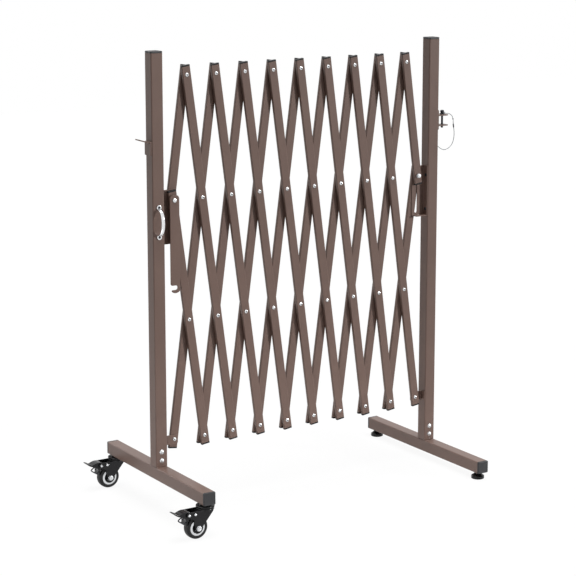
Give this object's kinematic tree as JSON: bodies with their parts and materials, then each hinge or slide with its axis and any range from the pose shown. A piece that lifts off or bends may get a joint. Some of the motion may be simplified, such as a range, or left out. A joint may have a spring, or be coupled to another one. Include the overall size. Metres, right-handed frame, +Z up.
{
  "type": "expandable safety barrier",
  "caption": "Scissor-lattice barrier that spreads between end posts on T feet, with braked swivel casters at one end and levelling feet at the other.",
  "frame": {"origin": "on the floor, under the middle of the whole barrier", "axes": "+X from the post on casters to the post on levelling feet, +Y to the rear, +Z up"},
  "size_m": [0.874, 0.44, 1],
  "materials": {
    "coat": "satin powder coat",
    "plastic": "satin",
    "rubber": "matte",
    "steel": "zinc plated",
    "chrome": "polished"
  },
  "bodies": {
    "left_frame": {"left_post": "coat", "left_post_cap": "plastic", "left_foot": "coat", "left_foot_plug_front": "plastic", "left_foot_plug_rear": "plastic", "left_foot_screw_lower": "steel", "left_foot_screw_upper": "steel", "left_guide_bracket": "coat", "left_pivot_bracket": "coat", "handle": "chrome", "coupling_bracket": "coat", "front_caster_stem": "plastic", "rear_caster_stem": "plastic"},
    "right_frame": {"right_post": "coat", "right_post_cap": "plastic", "right_foot": "coat", "right_foot_plug_front": "plastic", "right_foot_plug_rear": "plastic", "right_foot_screw_lower": "steel", "right_foot_screw_upper": "steel", "right_guide_bracket": "coat", "right_pivot_bracket": "coat", "pin_bracket": "coat", "lanyard": "steel"},
    "front_bar_1": {"front_bar_1": "coat"},
    "front_bar_2": {"front_bar_2": "coat"},
    "front_bar_3": {"front_bar_3": "coat"},
    "front_bar_4": {"front_bar_4": "coat"},
    "front_bar_5": {"front_bar_5": "coat"},
    "front_bar_6": {"front_bar_6": "coat"},
    "front_bar_7": {"front_bar_7": "coat"},
    "front_bar_8": {"front_bar_8": "coat"},
    "front_bar_9": {"front_bar_9": "coat"},
    "front_bar_10": {"front_bar_10": "coat"},
    "rear_bar_1": {"rear_bar_1": "coat"},
    "rear_bar_2": {"rear_bar_2": "coat"},
    "rear_bar_3": {"rear_bar_3": "coat"},
    "rear_bar_4": {"rear_bar_4": "coat"},
    "rear_bar_5": {"rear_bar_5": "coat"},
    "rear_bar_6": {"rear_bar_6": "coat"},
    "rear_bar_7": {"rear_bar_7": "coat"},
    "rear_bar_8": {"rear_bar_8": "coat"},
    "rear_bar_9": {"rear_bar_9": "coat"},
    "rear_bar_10": {"rear_bar_10": "coat"},
    "left_pivot_bolt": {"left_pivot_bolt": "steel"},
    "right_pivot_bolt": {"right_pivot_bolt": "steel"},
    "hook_bar": {"hook_bar": "coat"},
    "lock_pin": {"lock_pin": "plastic"},
    "front_fork": {"front_caster_fork": "plastic", "front_caster_axle": "steel"},
    "front_wheel": {"front_caster_tyre": "rubber", "front_caster_hub": "plastic"},
    "front_brake_pedal": {"front_caster_brake_pedal": "plastic"},
    "front_levelling_foot": {"front_levelling_foot": "plastic"},
    "rear_fork": {"rear_caster_fork": "plastic", "rear_caster_axle": "steel"},
    "rear_wheel": {"rear_caster_tyre": "rubber", "rear_caster_hub": "plastic"},
    "rear_brake_pedal": {"rear_caster_brake_pedal": "plastic"},
    "rear_levelling_foot": {"rear_levelling_foot": "plastic"}
  },
  "joints": [
    {"name": "lattice_spread", "type": "hinge", "parent": "left_frame", "child": "rear_bar_2", "pos_m": [-0.30625, 0, 0.153], "axis": [0, 1, 0], "range_deg": [-5.45, 22.2]},
    {"name": "front_bar_3_pivot", "type": "hinge", "parent": "rear_bar_2", "child": "front_bar_3", "pos_m": [-0.19867, 0, 0.94674], "axis": [0, -1, 0], "range_deg": [-11, 44.5]},
    {"name": "rear_bar_5_pivot", "type": "hinge", "parent": "front_bar_3", "child": "rear_bar_5", "pos_m": [-0.09108, 0, 0.153], "axis": [0, 1, 0], "range_deg": [-11, 44.5]},
    {"name": "front_bar_6_pivot", "type": "hinge", "parent": "rear_bar_5", "child": "front_bar_6", "pos_m": [0.0165, 0, 0.94674], "axis": [0, -1, 0], "range_deg": [-11, 44.5]},
    {"name": "rear_bar_8_pivot", "type": "hinge", "parent": "front_bar_6", "child": "rear_bar_8", "pos_m": [0.12408, 0, 0.153], "axis": [0, 1, 0], "range_deg": [-11, 44.5]},
    {"name": "front_bar_9_pivot", "type": "hinge", "parent": "rear_bar_8", "child": "front_bar_9", "pos_m": [0.23167, 0, 0.94674], "axis": [0, -1, 0], "range_deg": [-11, 44.5]},
    {"name": "front_bar_1_pivot", "type": "hinge", "parent": "rear_bar_2", "child": "front_bar_1", "pos_m": [-0.27039, 0, 0.41758], "axis": [0, -1, 0], "range_deg": [-11, 44.5]},
    {"name": "front_bar_2_pivot", "type": "hinge", "parent": "rear_bar_2", "child": "front_bar_2", "pos_m": [-0.23453, 0, 0.68216], "axis": [0, -1, 0], "range_deg": [-11, 44.5]},
    {"name": "rear_bar_1_pivot", "type": "hinge", "parent": "front_bar_2", "child": "rear_bar_1", "pos_m": [-0.27039, 0, 0.94674], "axis": [0, 1, 0], "range_deg": [-11, 44.5]},
    {"name": "rear_bar_3_pivot", "type": "hinge", "parent": "front_bar_3", "child": "rear_bar_3", "pos_m": [-0.16281, 0, 0.68216], "axis": [0, 1, 0], "range_deg": [-11, 44.5]},
    {"name": "rear_bar_4_pivot", "type": "hinge", "parent": "front_bar_3", "child": "rear_bar_4", "pos_m": [-0.12694, 0, 0.41758], "axis": [0, 1, 0], "range_deg": [-11, 44.5]},
    {"name": "front_bar_4_pivot", "type": "hinge", "parent": "rear_bar_5", "child": "front_bar_4", "pos_m": [-0.05522, 0, 0.41758], "axis": [0, -1, 0], "range_deg": [-11, 44.5]},
    {"name": "front_bar_5_pivot", "type": "hinge", "parent": "rear_bar_5", "child": "front_bar_5", "pos_m": [-0.01936, 0, 0.68216], "axis": [0, -1, 0], "range_deg": [-11, 44.5]},
    {"name": "rear_bar_6_pivot", "type": "hinge", "parent": "front_bar_6", "child": "rear_bar_6", "pos_m": [0.05236, 0, 0.68216], "axis": [0, 1, 0], "range_deg": [-11, 44.5]},
    {"name": "rear_bar_7_pivot", "type": "hinge", "parent": "front_bar_6", "child": "rear_bar_7", "pos_m": [0.08822, 0, 0.41758], "axis": [0, 1, 0], "range_deg": [-11, 44.5]},
    {"name": "front_bar_7_pivot", "type": "hinge", "parent": "rear_bar_8", "child": "front_bar_7", "pos_m": [0.15994, 0, 0.41758], "axis": [0, -1, 0], "range_deg": [-11, 44.5]},
    {"name": "front_bar_8_pivot", "type": "hinge", "parent": "rear_bar_8", "child": "front_bar_8", "pos_m": [0.19581, 0, 0.68216], "axis": [0, -1, 0], "range_deg": [-11, 44.5]},
    {"name": "rear_bar_9_pivot", "type": "hinge", "parent": "front_bar_9", "child": "rear_bar_9", "pos_m": [0.26753, 0, 0.68216], "axis": [0, 1, 0], "range_deg": [-11, 44.5]},
    {"name": "rear_bar_10_pivot", "type": "hinge", "parent": "front_bar_9", "child": "rear_bar_10", "pos_m": [0.30339, 0, 0.41758], "axis": [0, 1, 0], "range_deg": [-11, 44.5]},
    {"name": "front_bar_10_pivot", "type": "hinge", "parent": "rear_bar_9", "child": "front_bar_10", "pos_m": [0.30339, 0, 0.94674], "axis": [0, -1, 0], "range_deg": [-11, 44.5]},
    {"name": "right_frame_pivot", "type": "hinge", "parent": "front_bar_9", "child": "right_frame", "pos_m": [0.33925, 0, 0.153], "axis": [0, 1, 0], "range_deg": [-5.5, 22.25]},
    {"name": "left_bolt_turn", "type": "hinge", "parent": "front_bar_1", "child": "left_pivot_bolt", "pos_m": [-0.30625, 0, 0.68216], "axis": [0, 1, 0], "range_deg": [-5.5, 22.25]},
    {"name": "right_bolt_turn", "type": "hinge", "parent": "front_bar_10", "child": "right_pivot_bolt", "pos_m": [0.33925, 0, 0.68216], "axis": [0, 1, 0], "range_deg": [-5.5, 22.25]},
    {"name": "hook_bar_swing", "type": "hinge", "parent": "left_pivot_bolt", "child": "hook_bar", "pos_m": [-0.30625, 0, 0.68216], "axis": [0, -1, 0], "range_deg": [-3, 110]},
    {"name": "front_caster_swivel", "type": "hinge", "parent": "left_frame", "child": "front_fork", "pos_m": [-0.34525, -0.2, 0.0674], "axis": [0, 0, 1], "continuous": true},
    {"name": "front_caster_spin", "type": "hinge", "parent": "front_fork", "child": "front_wheel", "pos_m": [-0.36875, -0.2, 0.025], "axis": [0, 1, 0], "continuous": true},
    {"name": "front_caster_brake", "type": "hinge", "parent": "front_fork", "child": "front_brake_pedal", "pos_m": [-0.39075, -0.2, 0.0565], "axis": [0, -1, 0], "range_deg": [0, 8.5]},
    {"name": "rear_caster_swivel", "type": "hinge", "parent": "left_frame", "child": "rear_fork", "pos_m": [-0.34525, 0.2, 0.0674], "axis": [0, 0, 1], "continuous": true},
    {"name": "rear_caster_spin", "type": "hinge", "parent": "rear_fork", "child": "rear_wheel", "pos_m": [-0.36875, 0.2, 0.025], "axis": [0, 1, 0], "continuous": true},
    {"name": "rear_caster_brake", "type": "hinge", "parent": "rear_fork", "child": "rear_brake_pedal", "pos_m": [-0.39075, 0.2, 0.0565], "axis": [0, -1, 0], "range_deg": [0, 8.5]},
    {"name": "lock_pin_lift", "type": "slide", "parent": "right_frame", "child": "lock_pin", "axis": [0, 0, 1], "range_m": [0, 0.03]},
    {"name": "front_foot_extend", "type": "slide", "parent": "right_frame", "child": "front_levelling_foot", "axis": [0, 0, -1], "range_m": [0, 0.012]},
    {"name": "rear_foot_extend", "type": "slide", "parent": "right_frame", "child": "rear_levelling_foot", "axis": [0, 0, -1], "range_m": [0, 0.012]}
  ],
  "couplings": [
    {"joint": "front_bar_3_pivot", "follows": "lattice_spread", "ratio": 2},
    {"joint": "rear_bar_5_pivot", "follows": "lattice_spread", "ratio": 2},
    {"joint": "front_bar_6_pivot", "follows": "lattice_spread", "ratio": 2},
    {"joint": "rear_bar_8_pivot", "follows": "lattice_spread", "ratio": 2},
    {"joint": "front_bar_9_pivot", "follows": "lattice_spread", "ratio": 2},
    {"joint": "front_bar_1_pivot", "follows": "lattice_spread", "ratio": 2},
    {"joint": "front_bar_2_pivot", "follows": "lattice_spread", "ratio": 2},
    {"joint": "rear_bar_1_pivot", "follows": "lattice_spread", "ratio": 2},
    {"joint": "rear_bar_3_pivot", "follows": "lattice_spread", "ratio": 2},
    {"joint": "rear_bar_4_pivot", "follows": "lattice_spread", "ratio": 2},
    {"joint": "front_bar_4_pivot", "follows": "lattice_spread", "ratio": 2},
    {"joint": "front_bar_5_pivot", "follows": "lattice_spread", "ratio": 2},
    {"joint": "rear_bar_6_pivot", "follows": "lattice_spread", "ratio": 2},
    {"joint": "rear_bar_7_pivot", "follows": "lattice_spread", "ratio": 2},
    {"joint": "front_bar_7_pivot", "follows": "lattice_spread", "ratio": 2},
    {"joint": "front_bar_8_pivot", "follows": "lattice_spread", "ratio": 2},
    {"joint": "rear_bar_9_pivot", "follows": "lattice_spread", "ratio": 2},
    {"joint": "rear_bar_10_pivot", "follows": "lattice_spread", "ratio": 2},
    {"joint": "front_bar_10_pivot", "follows": "lattice_spread", "ratio": 2},
    {"joint": "right_frame_pivot", "follows": "lattice_spread", "ratio": 1},
    {"joint": "left_bolt_turn", "follows": "lattice_spread", "ratio": 1},
    {"joint": "right_bolt_turn", "follows": "lattice_spread", "ratio": 1}
  ]
}
